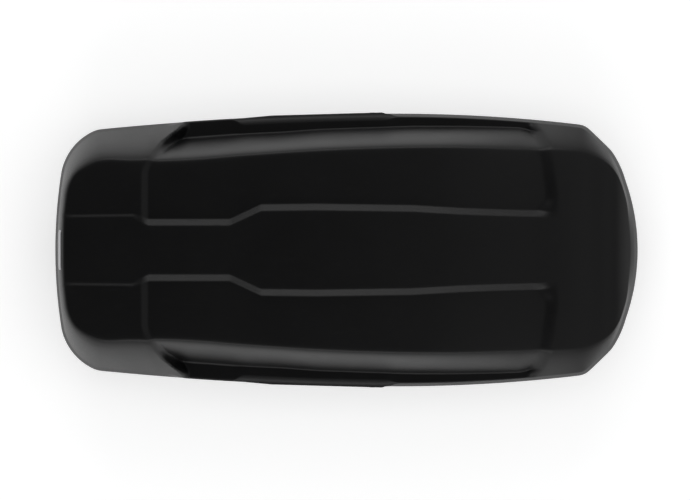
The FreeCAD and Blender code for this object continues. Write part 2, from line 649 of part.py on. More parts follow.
# A clamp: its carriage slides on the base rail, and two jaws reach down through the slot
def carriage(x, y):
    half = CARRIAGE_LENGTH / 2
    reach = CARRIAGE_WIDTH / 2
    shell = box(x - half, x + half, y - reach, y + reach, BASE_RAIL_Z, CARRIAGE_TOP_Z)
    shell = shell.makeChamfer(6, [edge for edge in shell.Edges
                                  if edge.BoundBox.ZMin > CARRIAGE_TOP_Z - 1])
    inside = reach - CARRIAGE_WALL
    hollow = box(x - half + CARRIAGE_WALL, x + half - CARRIAGE_WALL, y - inside, y + inside,
                 BASE_RAIL_Z - 1, CARRIAGE_TOP_Z - CARRIAGE_WALL)
    shell = shell.cut(hollow)
    pins = [cylinder(Vector(x + end * JAW_PIVOT_X, y - inside - 1, JAW_PIVOT_Z), Vector(0, 1, 0),
                     2 * inside + 2, JAW_PIVOT_RADIUS) for end in (1, -1)]
    bore = cylinder(Vector(x, y, BASE_RAIL_Z), Vector(0, 0, 1), CARRIAGE_HEIGHT + 1,
                    SPINDLE_RADIUS + SPINDLE_GAP)
    return shell.multiFuse(pins).cut(bore)


def jaw(x, y, end):
    def at(along, z):
        return (x + end * along, z)

    y0, y1 = y - JAW_WIDTH / 2, y + JAW_WIDTH / 2
    inner = BAR_WIDTH / 2 + BAR_PLAY
    outer = inner + JAW_ARM
    toe_top = FLOOR_Z - SEAT_THICKNESS - BAR_HEIGHT - BAR_PLAY
    arm = side_prism([at(inner, JAW_PIVOT_Z), at(inner, toe_top), at(outer - JAW_TOE_REACH, toe_top),
                      at(outer - JAW_TOE_REACH, 3), at(outer - JAW_TOE_REACH + 3, 0), at(outer - 4, 0),
                      at(outer, 4), at(outer, JAW_PIVOT_Z)], y0, y1)
    lever = side_prism([at(JAW_PIVOT_X, JAW_PIVOT_Z), at(JAW_PIVOT_X - JAW_LEVER_REACH, JAW_PIVOT_Z + 1),
                        at(JAW_PIVOT_X - JAW_LEVER_REACH, JAW_PIVOT_Z + 1 + JAW_LEVER_HEIGHT),
                        at(JAW_PIVOT_X, JAW_PIVOT_Z + JAW_HUB_RADIUS)], y0, y1)
    start = Vector(x + end * JAW_PIVOT_X, y0, JAW_PIVOT_Z)
    hub = cylinder(start, Vector(0, 1, 0), JAW_WIDTH, JAW_HUB_RADIUS)
    bore = cylinder(start, Vector(0, 1, 0), JAW_WIDTH, JAW_PIVOT_RADIUS + JAW_PIVOT_GAP)
    return arm.multiFuse([lever, hub]).cut(bore)


def spindle(x, y):
    plate_z = JAW_PIVOT_Z + 1 + JAW_LEVER_HEIGHT + FIT_GAP
    plate = cylinder(Vector(x, y, plate_z), Vector(0, 0, 1), SPINDLE_PLATE, SPINDLE_PLATE_RADIUS)
    top = CARRIAGE_TOP_Z + KNOB_LIFT + KNOB_HEIGHT * 0.6
    shaft = cylinder(Vector(x, y, plate_z), Vector(0, 0, 1), top - plate_z, SPINDLE_RADIUS)
    return plate.fuse(shaft)


def knob(x, y):
    base = CARRIAGE_TOP_Z + KNOB_LIFT
    body = cylinder(Vector(x, y, base), Vector(0, 0, 1), KNOB_HEIGHT, KNOB_RADIUS)
    body = body.makeChamfer(2, [edge for edge in body.Edges if edge.BoundBox.ZMin > base + 1
                                and edge.BoundBox.ZLength < 1])
    for number in range(KNOB_LOBES):
        angle = math.radians(360 / KNOB_LOBES * number)
        reach = KNOB_RADIUS + KNOB_SCALLOP / 2
        centre = Vector(x + reach * math.cos(angle), y + reach * math.sin(angle), base)
        body = body.cut(cylinder(centre, Vector(0, 0, 1), KNOB_HEIGHT, KNOB_SCALLOP))
    socket = cylinder(Vector(x, y, base), Vector(0, 0, 1), KNOB_HEIGHT * 0.6, SPINDLE_RADIUS + SPINDLE_GAP)
    return body.cut(socket)


# Pieces inside and on the lid
def stiffeners(cavity):
    lowered = cavity.copy()
    lowered.translate(Vector(0, 0, -STIFFENER_HEIGHT))
    pieces = []
    for x in STIFFENER_STATIONS:
        slab = box(x - STIFFENER_WIDTH / 2, x + STIFFENER_WIDTH / 2, -HALF_WIDTH, HALF_WIDTH,
                   RIM_Z + STIFFENER_ABOVE_RIM, LID_TOP_Z)
        pieces += slab.common(cavity).cut(lowered).Solids
    return Part.makeCompound(pieces)


def rear_badge(lid_outer):
    top = RIM_Z + LID_RISE - BADGE_BELOW_TOP - 10
    window = box(REAR_END - 20, REAR_END + 200, -BADGE_WIDTH / 2, BADGE_WIDTH / 2, top - BADGE_HEIGHT, top)
    grown = lid_form(-BADGE_THICKNESS, 0)
    return grown.common(window).cut(lid_outer)


def export(name, shape):
    shape.exportStep("parts/" + name + ".step")


def main():
    os.makedirs("parts", exist_ok=True)
    cavity = lid_solid(WALL)
    lid_outer = lid_form(0, 0)
    export("lid_shell", lid_shell(cavity))
    export("lid_stiffeners", stiffeners(cavity))
    export("rear_badge_plate", rear_badge(lid_outer))
    export("strut_brackets", strut_brackets())
    export("bowl", bowl())
    export("bar_seats", bar_seats())
    for name, side in SIDES.items():
        export("strikers_" + name, strikers(side))
        export("claws_" + name, claws(side))
        export("lid_rail_" + name, lid_rail(side))
        export("rail_screws_" + name, mirrored(rail_screws(0), side))
        export("lock_bar_" + name, lock_bar(side))
        export("side_trim_" + name, side_trim(side, lid_outer))
        export("handle_" + name, handle(side))
        export("handle_pin_" + name, mirrored(handle_pin_at(0), side))
        export("key_barrel_" + name, key_barrel(side))
        export("base_rail_" + name, base_rail(side))
        export("base_rivets_" + name, mirrored(base_rivets(0), side))
        for end, x in zip(("rear", "front"), strut_feet(side)):
            export("strut_tube_" + end + "_" + name, mirrored(strut_tube(x), side))
            export("strut_rod_" + end + "_" + name, mirrored(strut_rod(x), side))
    for name, (x, y) in CLAMPS.items():
        export("clamp_carriage_" + name, carriage(x, y))
        export("clamp_jaw_fore_" + name, jaw(x, y, 1))
        export("clamp_jaw_aft_" + name, jaw(x, y, -1))
        export("clamp_spindle_" + name, spindle(x, y))
        export("clamp_knob_" + name, knob(x, y))


main()
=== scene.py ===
"""Roof cargo box: the lid's moulded form, rear plate, cross bars and floor ribs around the CAD parts."""

import math

import bmesh
import bpy
import numpy as np
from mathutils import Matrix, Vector
from mathutils.bvhtree import BVHTree
from mathutils.kdtree import KDTree


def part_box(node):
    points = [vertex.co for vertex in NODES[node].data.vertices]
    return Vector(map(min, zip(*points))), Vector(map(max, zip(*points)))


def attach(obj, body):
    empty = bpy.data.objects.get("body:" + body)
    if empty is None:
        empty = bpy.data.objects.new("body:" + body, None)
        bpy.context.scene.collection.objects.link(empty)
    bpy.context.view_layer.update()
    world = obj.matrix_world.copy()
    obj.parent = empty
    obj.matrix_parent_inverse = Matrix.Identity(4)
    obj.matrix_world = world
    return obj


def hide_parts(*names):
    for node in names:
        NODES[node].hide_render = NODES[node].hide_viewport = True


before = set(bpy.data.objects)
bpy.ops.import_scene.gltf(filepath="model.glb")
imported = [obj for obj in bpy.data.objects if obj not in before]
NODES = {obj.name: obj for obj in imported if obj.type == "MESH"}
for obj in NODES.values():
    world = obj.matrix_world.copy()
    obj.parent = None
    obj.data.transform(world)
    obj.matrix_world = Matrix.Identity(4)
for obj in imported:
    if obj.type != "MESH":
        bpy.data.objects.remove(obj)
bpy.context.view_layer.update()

# The lid's own sizes are millimetres: along from the rear end, out from the middle line, and up from the rim.
MM = 0.001
LID_LOW, LID_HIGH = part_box("lid_shell")
LENGTH = (LID_HIGH.x - LID_LOW.x) / MM
HALF = LID_HIGH.y / MM
SKIRT_DROP = 8.0
RIM_Z = LID_LOW.z + SKIRT_DROP * MM
SHELF_UP = 45.0
LID_WALL = 3.6

# Rim in plan, from the middle of the rear to the middle of the nose: arcs through three points
REAR_CORNER = (19, HALF - 170)
NOSE_CORNER = (LENGTH - 35, HALF - 205)
RIM_ARCS = (
    ((REAR_CORNER[0], -REAR_CORNER[1]), (0, 0), REAR_CORNER),
    (REAR_CORNER, (50, HALF - 104), (127, HALF - 47)),
    ((127, HALF - 47), (560, HALF - 14), (1000, HALF)),
    ((1000, HALF), (1330, HALF - 10), (LENGTH - 173, HALF - 33)),
    ((LENGTH - 173, HALF - 33), (LENGTH - 158, HALF - 37), (LENGTH - 146, HALF - 46)),
    ((LENGTH - 146, HALF - 46), (LENGTH - 112, HALF - 78.5), (LENGTH - 78, HALF - 112)),
    ((LENGTH - 78, HALF - 112), (LENGTH - 51, HALF - 160), NOSE_CORNER),
    (NOSE_CORNER, (LENGTH, 0), (NOSE_CORNER[0], -NOSE_CORNER[1])),
)

# Where the crease around the top lies for places on the rim: rim along, rim out, crease along, crease out.
# The rows REAR_TURN and NOSE_TURN are the corners, where the rear and nose ends meet the side.
REAR_TURN = 3
NOSE_TURN = 16
CREASE = (
    (0, 0, 49, 0), (7, 150, 53, 120), (17, 230, 64, 190), (40, 290, 82, 225), (75, 331, 110, 245),
    (127, 362, 150, 262), (250, 374, 250, 262), (410, 386, 410, 265), (587, 397, 587, 279),
    (799, 406, 799, 293), (1078, 409, 1078, 302), (1220, 406, 1220, 302), (1397, 395, 1397, 296),
    (1518, 384, 1518, 293), (1598, 369, 1600, 284), (1640, 330, 1650, 262), (1690, 268, 1690, 220),
    (1715, 204, 1712, 160), (1742, 100, 1722, 80), (1750, 0, 1725, 0),
)

# Height of the top's middle line above the rim
TOP_LINE = ((-20, 263), (150, 281), (350, 296), (600, 300), (800, 298.5), (1000, 284), (1225, 252),
            (1420, 207), (1600, 155), (1695, 107), (1730, 66), (1752, 34))

# Raised spine: half-width at the middle of its sloping edge, the edge's width, and the step down beside it.
# On the rear block the edge is a narrow line.
SPINE = ((0, 100), (253, 103), (298, 82), (540, 82), (632, 125), (795, 127), (1078, 123), (1220, 115),
         (1326, 111), (1447, 108), (1489, 103), (1750, 100))
SPINE_BAND = 21.0
REAR_LINE_BAND = 7.0
BAND_WIDENS = (245, 275)
PANEL_STEP = 13.0
REAR_LINE_STEP = 4.0
REAR_LINE_STARTS = (20, 60)
REAR_LINE_ENDS = (1400, 1500)

# How far the top has fallen at CROWN_OUT from its middle line, at the rear and at the nose
CROWN = (14.0, 34.0)
CROWN_GROWS = (1100, 1600)
CROWN_OUT = 290
CROWN_POWER = 2.2

# Ends of the recessed middle, as out and along, and the length of their slopes. Near the middle line the nose
# end's slope begins earlier, by up to NOSE_EARLIER.
POCKET_REAR = ((0, 287), (230, 287), (259, 298), (287, 318), (315, 339), (350, 380), (370, 395), (420, 400))
POCKET_NOSE = ((0, 1497), (174, 1491), (287, 1475), (315, 1468), (370, 1437), (420, 1437))
POCKET_REAR_SLOPE = 20.0
POCKET_NOSE_SLOPE = 42.0
NOSE_EARLIER = 60
EARLIER_WITHIN = 150

# The shelf's inner edge in the recessed middle, as along and out, how far it lies above the lip, and the
# shelf's least width
SHELF_INNER = ((0, 300), (300, 322), (405, 335), (582, 348), (689, 353), (795, 361), (937, 366), (1078, 370),
               (1220, 370), (1329, 368), (1397, 366), (1500, 340), (1600, 300), (1750, 150))
SHELF_RISE = 2
SHELF_LEAST = 12

# Handle notch in the skirt, and the trim around it
NOTCH = (675.0, 905.0)
NOTCH_UP = 36.0
TRIM = (574.0, 991.0)
TRIM_FADE = (5, 40)

# Skirt: heights of its rows, and how far its upper part leans in. It stands upright over the lid rail, and
# beside the trim only its top leans in.
SKIRT_ROWS = (-SKIRT_DROP, -6.5, 0, 8, 15, 22, 29, NOTCH_UP, 39, 42, SHELF_UP)
CHAMFER_FROM = 15.0
CHAMFER_IN = 10.0
TRIM_CHAMFER_FROM = 39.0
TRIM_CHAMFER_IN = 20.0
TRIM_SHELF_LIFT = 3.0
OVER_RAIL = (330.0, 395.0)

# Walls between the shelf and the crease: how far out their bend's knee lies, as a share of the way from the
# crease, how much further at the rear end, and how far below the crease it lies
KNEE_REACH = 0.3
REAR_KNEE_REACH = 0.35
REAR_END_OUT = (150, 235)
KNEE_DROP = 4
WALL_SPACING = 1.15

# How far the curved rear and nose ends bend the top's columns beyond them
REAR_BULGE = 320
NOSE_BULGE = 420

# The crease is softened over this reach on each side, and over more at the rear corners
CREASE_SOFT = 16
REAR_CORNER_SOFT = 22
REAR_CORNER_ENDS = (200, 330)
REAR_CORNER_OUT = (225, 260)
SETTLE_WEIGHT = 0.5
SETTLE_ROUNDS = 10

# How fine the mesh is. Columns stand closer together between the two places of each row of CLOSER.
SPINE_ROWS, SLOPE_ROWS, PANEL_ROWS = 11, 4, 22
ROW_GAPS = (1.5, 4.5, 9)
SHELF_STEPS = 8
WALL_STEPS = 24
SIDE_STEPS = 230
CLOSER = ((1.3, (240, 290), (400, 450)), (1.0, (1400, 1430), (1510, 1540)))
RIM_SMOOTHING = 30
FINE_STATIONS = 8000
END_ROWS_AT = (60, 1700)
ON_MIDDLE = 0.01
WELD = 0.02


def ease(value, low, high):
    """0 below low, 1 above high, and a smooth step between them."""
    share = np.clip((value - low) / (high - low), 0, 1)
    return share * share * (3 - 2 * share)


def table(knots, value):
    """Straight lines through knots, read at value."""
    along, height = zip(*knots)
    return np.interp(value, along, height)


def smooth_curve(stations, knots, at):
    """Cubic curve through knots, which lie at these stations, read at other stations."""
    stations, knots = np.asarray(stations, float), np.asarray(knots, float)
    step = np.diff(stations)[:, None]
    slope = np.diff(knots, axis=0) / step
    tangent = np.vstack([slope[:1], (slope[:-1] * step[1:] + slope[1:] * step[:-1]) / (step[:-1] + step[1:]),
                         slope[-1:]])
    place = np.clip(np.searchsorted(stations, at) - 1, 0, len(stations) - 2)
    gap = step[place]
    t = (np.asarray(at, float) - stations[place])[:, None] / gap
    return (knots[place] * (1 + 2 * t) * (1 - t) ** 2 + tangent[place] * gap * t * (1 - t) ** 2
            + knots[place + 1] * t * t * (3 - 2 * t) + tangent[place + 1] * gap * t * t * (t - 1))


def arc_points(first, middle, last, spacing=2.0):
    """Points on the arc through three points, or on the line where they lie on one."""
    a, b, c = (complex(*point) for point in (first, middle, last))
    turn = (c - a) / (b - a)
    if abs(turn.imag) < 1e-6:
        return np.linspace(first, last, int(abs(c - a) / spacing))
    centre = (b - a) * (turn - abs(turn) ** 2) / (2j * turn.imag) + a
    start = a - centre
    sweep = np.angle((c - centre) / start)
    count = max(4, int(abs(sweep) * abs(start) / spacing))
    points = centre + start * np.exp(1j * np.linspace(0, sweep, count))
    return np.column_stack([points.real, points.imag])


def rim_line():
    """The rim of half the lid: stations along it, from the rear, and the points there."""
    points = np.vstack([arc_points(*arc)[1:] for arc in RIM_ARCS])
    points = np.vstack([[0, 0], points[points[:, 1] > 0], [LENGTH, 0]])
    for _ in range(RIM_SMOOTHING):
        points[1:-1] += 0.25 * (points[2:] + points[:-2] - 2 * points[1:-1])
    gaps = np.hypot(*np.diff(points, axis=0).T)
    return np.concatenate([[0], np.cumsum(gaps)]), points


RIM_STATIONS, RIM_POINTS = rim_line()


def rim_at(station):
    return np.column_stack([np.interp(station, RIM_STATIONS, RIM_POINTS[:, axis]) for axis in (0, 1)])


def rim_station(along, out):
    return RIM_STATIONS[np.argmin(np.hypot(RIM_POINTS[:, 0] - along, RIM_POINTS[:, 1] - out))]


def crease_curve():
    """Rim stations of the crease's knots, and the knots carried on past both ends by mirroring."""
    stations = np.array([rim_station(row[0], row[1]) for row in CREASE])
    knots = np.array([row[2:] for row in CREASE], float)
    before, after = knots[2:0:-1] * (1, -1), knots[-2:-4:-1] * (1, -1)
    all_stations = np.concatenate([-stations[2:0:-1], stations, 2 * stations[-1] - stations[-2:-4:-1]])
    return stations, all_stations, np.vstack([before, knots, after])


CREASE_STATIONS, CREASE_ALL_STATIONS, CREASE_KNOTS = crease_curve()


def crease_at(station):
    return smooth_curve(CREASE_ALL_STATIONS, CREASE_KNOTS, station)


def row_places(limit, spine):
    """How far out the top's lengthwise rows lie, closer together at the spine's sloping edge."""
    inner, outer = spine - SPINE_BAND / 2, spine + SPINE_BAND / 2
    tight, near, wide = ROW_GAPS
    return np.concatenate([
        np.linspace(0, inner - wide, SPINE_ROWS), [inner - near, inner - tight, inner + tight],
        np.linspace(inner + near, outer - near, SLOPE_ROWS), [outer - tight, outer + tight, outer + near],
        np.linspace(outer + wide, limit, PANEL_ROWS)])


def in_pocket(along, out):
    """0 on the rear and nose blocks, 1 in the recessed middle."""
    out = np.abs(out)
    rear = table(POCKET_REAR, out)
    nose = table(POCKET_NOSE, out)
    earlier = np.clip(EARLIER_WITHIN - out, 0, NOSE_EARLIER)
    return (np.clip((along - rear) / POCKET_REAR_SLOPE + 0.5, 0, 1)
            * (1 - ease(along, nose - POCKET_NOSE_SLOPE / 2 - earlier, nose + POCKET_NOSE_SLOPE / 2)))


def top_height(along, out):
    """Height of the top above the rim."""
    out = np.abs(out)
    stations, heights = zip(*TOP_LINE)
    line = smooth_curve(stations, np.array(heights)[:, None], np.ravel(along))[:, 0].reshape(np.shape(along))
    crown = CROWN[0] + (CROWN[1] - CROWN[0]) * ease(along, *CROWN_GROWS)
    spine = table(SPINE, along)
    recess = in_pocket(along, out)
    band = REAR_LINE_BAND + (SPINE_BAND - REAR_LINE_BAND) * ease(along, *BAND_WIDENS)
    beyond = np.clip((out - spine) / band + 0.5, 0, 1)
    block_step = REAR_LINE_STEP * (1 - ease(along, *REAR_LINE_ENDS)) * ease(along, *REAR_LINE_STARTS)
    return (line - crown * (out / CROWN_OUT) ** CROWN_POWER
            - beyond * (block_step + (PANEL_STEP - block_step) * recess))


def column_stations():
    """Stations of the columns around half the lid, and how many of them run across the rear and nose ends."""
    fine = np.linspace(0, RIM_STATIONS[-1], FINE_STATIONS)
    crease = crease_at(fine)
    rear_end, nose_end = CREASE_STATIONS[REAR_TURN], CREASE_STATIONS[NOSE_TURN]
    on_rear, on_nose = fine <= rear_end, fine >= nose_end
    rear_rows = row_places(crease_at([rear_end])[0, 1], table(SPINE, END_ROWS_AT[0]))
    nose_rows = row_places(crease_at([nose_end])[0, 1], table(SPINE, END_ROWS_AT[1]))
    rear = np.interp(rear_rows, crease[on_rear, 1], fine[on_rear])
    nose = np.interp(nose_rows, crease[on_nose, 1][::-1], fine[on_nose][::-1])[::-1]
    inside = fine[(fine >= rear_end) & (fine <= nose_end)]
    along = rim_at(inside)[:, 0]
    closeness = np.ones(len(along))
    for more, rise, fall in CLOSER:
        closeness += more * (ease(along, *rise) - ease(along, *fall))
    total = np.concatenate([[0], np.cumsum(closeness[1:] * np.diff(inside))])
    side = np.interp(np.linspace(0, total[-1], SIDE_STEPS + 1), total, inside)
    for edge in NOTCH:
        exact = np.interp(edge, along, inside)
        side[np.argmin(np.abs(side - exact))] = exact
    return np.concatenate([rear[:-1], side, nose[1:]]), len(rear) - 1


def lid_ring(stations):
    """The lid's skirt, shelf and wall for half the lid, as columns of rows, each row along, out and up."""
    rim, crease = rim_at(stations), crease_at(stations)
    ahead, behind = rim_at(stations + 2), rim_at(stations - 2)
    run = ahead - behind
    run[0], run[-1] = (0, 1), (0, -1)
    run /= np.hypot(run[:, 0], run[:, 1])[:, None]
    inward = np.column_stack([run[:, 1], -run[:, 0]])
    near_trim, off_trim = TRIM_FADE
    past_trim = ease(rim[:, 0], TRIM[1] + near_trim, TRIM[1] + off_trim)
    by_trim = ease(rim[:, 0], TRIM[0] - off_trim, TRIM[0] - near_trim) - past_trim
    by_rail = ease(rim[:, 0], *OVER_RAIL) - past_trim
    rows = []
    for up in SKIRT_ROWS:
        share = max(0.0, (up - CHAMFER_FROM) / (SHELF_UP - CHAMFER_FROM))
        trim_share = max(0.0, (up - TRIM_CHAMFER_FROM) / (SHELF_UP - TRIM_CHAMFER_FROM))
        chamfer = CHAMFER_IN * share * (1 - by_rail) + TRIM_CHAMFER_IN * trim_share * by_trim
        place = rim + inward * chamfer[:, None]
        rows.append(np.column_stack([place, up + TRIM_SHELF_LIFT * trim_share * by_trim]))
    lip = rows[-1]
    crown = np.column_stack([crease, top_height(crease[:, 0], crease[:, 1])])
    on_end = 1 - ease(crease[:, 1], *REAR_END_OUT)
    reach = KNEE_REACH + REAR_KNEE_REACH * on_end * (crease[:, 0] < LENGTH / 2)
    foot = np.column_stack([lip[:, 0], np.minimum(table(SHELF_INNER, lip[:, 0]), lip[:, 1] - SHELF_LEAST),
                            SHELF_UP + SHELF_RISE + (TRIM_SHELF_LIFT - 1) * by_trim])

    def bent(start, share):
        knee = crown + (start - crown) * reach[:, None]
        knee[:, 2] = crown[:, 2] - KNEE_DROP
        return start * (1 - share) ** 2 + knee * 2 * share * (1 - share) + crown * share ** 2

    steps = SHELF_STEPS + WALL_STEPS
    for number in range(1, steps + 1):
        full = bent(lip, (number / steps) ** WALL_SPACING)
        if number <= SHELF_STEPS:
            pocket = lip + (foot - lip) * number / SHELF_STEPS
        else:
            pocket = bent(foot, (number - SHELF_STEPS) / WALL_STEPS)
        middle = (full + pocket) / 2
        share = in_pocket(middle[:, 0], middle[:, 1])[:, None]
        rows.append(full + (pocket - full) * share)
    return np.stack(rows, axis=1)


def lid_top(stations, across):
    """The top inside the crease, for half the lid, as columns of rows."""
    crease = crease_at(stations)
    rear, side, nose = crease[:across + 1], crease[across:-across], crease[-across - 1:][::-1]
    start, end = side[0, 0], side[-1, 0]
    middle = rear[0, 0] + (side[:, 0] - start) * (nose[0, 0] - rear[0, 0]) / (end - start)
    columns = []
    for number, (along, limit) in enumerate(side):
        out = row_places(limit, table(SPINE, 0.6 * middle[number] + 0.4 * along))
        share = out / limit
        place = middle[number] + (along - middle[number]) * share
        for edge, corner, fade in ((rear, side[0], (along - start) / REAR_BULGE),
                                   (nose, side[-1], (end - along) / NOSE_BULGE)):
            bulge = np.interp(share * corner[1], edge[:, 1], edge[:, 0])
            bulge -= edge[0, 0] + (corner[0] - edge[0, 0]) * share
            place = place + bulge * max(0.0, 1 - fade) ** 2
        columns.append(np.column_stack([place, out, top_height(place, out)]))
    for number, edge in ((0, rear), (-1, nose)):
        columns[number] = np.column_stack([edge, top_height(edge[:, 0], edge[:, 1])])
    return np.stack(columns)


def grid_faces(columns, rows, offset):
    return [(offset + i * rows + j, offset + (i + 1) * rows + j, offset + (i + 1) * rows + j + 1,
             offset + i * rows + j + 1) for i in range(columns - 1) for j in range(rows - 1)]


def settle(points, edges, weight, rounds):
    """Relaxes points towards their neighbours, each by its own weight."""
    count = np.bincount(edges.ravel(), minlength=len(points))[:, None]
    for _ in range(rounds):
        total = np.zeros_like(points)
        np.add.at(total, edges[:, 0], points[edges[:, 1]])
        np.add.at(total, edges[:, 1], points[edges[:, 0]])
        points += weight[:, None] * (total / count - points)


# Bend, per metre, at which an edge counts as fully rubbed
FULL_WEAR = 60


def mark_edges(mesh):
    """Writes how sharply each point stands out, from 0 to 1, for the wear on edges."""
    count = len(mesh.vertices)
    points, normals = np.empty(count * 3), np.empty(count * 3)
    mesh.vertices.foreach_get("co", points)
    mesh.vertices.foreach_get("normal", normals)
    points, normals = points.reshape(-1, 3), normals.reshape(-1, 3)
    edges = np.empty(len(mesh.edges) * 2, int)
    mesh.edges.foreach_get("vertices", edges)
    first, second = edges.reshape(-1, 2).T
    gap = points[first] - points[second]
    bend = np.einsum("ij,ij->i", gap, normals[first] - normals[second]) / np.maximum(
        np.einsum("ij,ij->i", gap, gap), 1e-12)
    total = np.bincount(first, bend, count) + np.bincount(second, bend, count)
    mean = total / np.maximum(np.bincount(first, minlength=count) + np.bincount(second, minlength=count), 1)
    attribute = mesh.attributes.new("edge_wear", "FLOAT", "POINT")
    attribute.data.foreach_set("value", np.clip(mean / FULL_WEAR, 0, 1).astype(np.float32))


def add_object(name, data, material=None):
    piece = bpy.data.objects.new(name, data)
    bpy.context.scene.collection.objects.link(piece)
    if material:
        data.materials.append(material)
    return piece


def settled_mesh(piece):
    """The piece with its modifiers applied, as a plain mesh."""
    bpy.context.view_layer.update()
    done = bpy.data.meshes.new_from_object(piece.evaluated_get(bpy.context.evaluated_depsgraph_get()))
    piece.modifiers.clear()
    old, piece.data = piece.data, done
    bpy.data.meshes.remove(old)
    return piece


def shade_smooth(mesh):
    mesh.polygons.foreach_set("use_smooth", np.ones(len(mesh.polygons), bool))


def lid_mesh(ring, top):
    """The outer face of the lid, both halves, open along the lower lip and at the handle notches."""
    points = np.vstack([ring.reshape(-1, 3), top.reshape(-1, 3)])
    faces = grid_faces(*ring.shape[:2], 0) + grid_faces(*top.shape[:2], ring.shape[0] * ring.shape[1])
    points[:, 1][points[:, 1] < ON_MIDDLE] = 0
    points = np.vstack([points, points * (1, -1, 1)])
    half = len(points) // 2
    faces += [tuple(half + corner for corner in reversed(face)) for face in faces]
    mesh = bpy.data.meshes.new("lid_surface")
    mesh.from_pydata(points.tolist(), [], faces)
    shape = bmesh.new()
    shape.from_mesh(mesh)
    bmesh.ops.remove_doubles(shape, verts=shape.verts, dist=WELD)
    gone = []
    for face in shape.faces:
        centre = face.calc_center_median()
        if NOTCH[0] < centre.x < NOTCH[1] and centre.z < NOTCH_UP and abs(centre.y) > SHELF_INNER[0][1]:
            gone.append(face)
    bmesh.ops.delete(shape, geom=gone, context="FACES")
    bmesh.ops.recalc_face_normals(shape, faces=shape.faces)
    highest = max(shape.faces, key=lambda face: face.calc_center_median().z)
    if highest.normal.z < 0:
        bmesh.ops.reverse_faces(shape, faces=shape.faces)
    shape.to_mesh(mesh)
    shape.free()
    return mesh


def crease_distance(stations, points):
    """How far each point lies from the crease around the top."""
    crease = crease_at(stations)
    tree = KDTree(2 * len(crease))
    for number, (along, out) in enumerate(np.vstack([crease, crease * (1, -1)])):
        tree.insert((along, out, float(top_height(np.array([along]), np.array([out]))[0])), number)
    tree.balance()
    return np.array([tree.find(point)[2] for point in points])


def lid_surface():
    """The lid's outer face in its place, with the crease around the top softened."""
    stations, across = column_stations()
    mesh = lid_mesh(lid_ring(stations), lid_top(stations, across))
    points = np.array([vertex.co for vertex in mesh.vertices])
    edges = np.array([edge.vertices[:] for edge in mesh.edges])
    rear_corner = ((1 - ease(points[:, 0], *REAR_CORNER_ENDS))
                   * ease(np.abs(points[:, 1]), *REAR_CORNER_OUT))
    soft = CREASE_SOFT + REAR_CORNER_SOFT * rear_corner
    closeness = np.clip(1 - crease_distance(stations, points) / soft, 0, 1)
    settle(points, edges, SETTLE_WEIGHT * closeness ** 0.5, SETTLE_ROUNDS)
    points[:, 2] = np.minimum(points[:, 2], (LID_HIGH.z - RIM_Z) / MM)
    placed = points * MM + (LID_LOW.x, 0, RIM_Z)
    mesh.vertices.foreach_set("co", placed.ravel())
    mesh.update()
    return mesh


# Finishes


class Reading:
    """A number that varies over a surface. Sums on it become Math nodes."""

    def __init__(self, finish, socket):
        self.finish = finish
        self.socket = socket

    def maths(self, operation, first, second):
        return self.finish.make("ShaderNodeMath", {"operation": operation}, {0: first, 1: second}).reading()

    def __add__(self, other):
        return self.maths("ADD", self, other)

    def __sub__(self, other):
        return self.maths("SUBTRACT", self, other)

    def __rsub__(self, other):
        return self.maths("SUBTRACT", other, self)

    def __mul__(self, other):
        return self.maths("MULTIPLY", self, other)

    def __truediv__(self, other):
        return self.maths("DIVIDE", self, other)

    __radd__ = __add__


class Made:
    """A node that a finish has made."""

    def __init__(self, finish, node):
        self.finish = finish
        self.node = node

    def reading(self, key=0):
        return Reading(self.finish, self.node.outputs[key])


class Finish:
    """A material, or the world, as it is put together."""

    def __init__(self, name, owner=None):
        self.material = owner or bpy.data.materials.new(name)
        self.material.use_nodes = True
        self.tree = self.material.node_tree
        self.tree.nodes.clear()
        self.place = self.make("ShaderNodeTexCoord").reading("Object")

    def make(self, kind, settings=None, values=None):
        """Adds a node. Settings are its own properties, values go on its sockets or are linked to them."""
        node = self.tree.nodes.new(kind)
        for key, value in (settings or {}).items():
            if key == "stops":
                while len(node.color_ramp.elements) < len(value):
                    node.color_ramp.elements.new(1.0)
                for element, (position, level) in zip(node.color_ramp.elements, value):
                    element.position = position
                    element.color = (level, level, level, 1)
            else:
                setattr(node, key, value)
        for key, value in (values or {}).items():
            if isinstance(value, Reading):
                self.tree.links.new(value.socket, node.inputs[key])
            else:
                node.inputs[key].default_value = value
        return Made(self, node)

    def stretched(self, scale):
        return self.make("ShaderNodeMapping", {}, {"Vector": self.place, "Scale": scale}).reading()

    def noise(self, scale, detail=2.0, place=None):
        return self.make("ShaderNodeTexNoise", {}, {"Vector": place or self.place, "Scale": scale,
                                                     "Detail": detail}).reading("Fac")

    def cells(self, scale, feature="F1", output="Distance"):
        return self.make("ShaderNodeTexVoronoi", {"feature": feature},
                         {"Vector": self.place, "Scale": scale}).reading(output)

    def ramp(self, value, *stops):
        return self.make("ShaderNodeValToRGB", {"stops": stops}, {"Fac": value}).reading()

    def tint(self, share, first, second):
        values = {0: share}
        for key, colour in ((6, first), (7, second)):
            values[key] = colour if isinstance(colour, Reading) else (*colour, 1)
        return self.make("ShaderNodeMix", {"data_type": "RGBA"}, values).reading(2)

    def close(self, colour, roughness, height, depth, constants):
        """Ends the material with a bump and its shader."""
        bump = self.make("ShaderNodeBump", {}, {"Height": height, "Distance": depth}).reading()
        values = {"Base Color": colour, "Roughness": roughness, "Normal": bump}
        values.update(constants)
        shader = self.make("ShaderNodeBsdfPrincipled", {}, values)
        self.make("ShaderNodeOutputMaterial", {}, {"Surface": shader.reading()})
        return self.material


def lighter(colour, times, added=0.0):
    return tuple(level * times + added for level in colour)


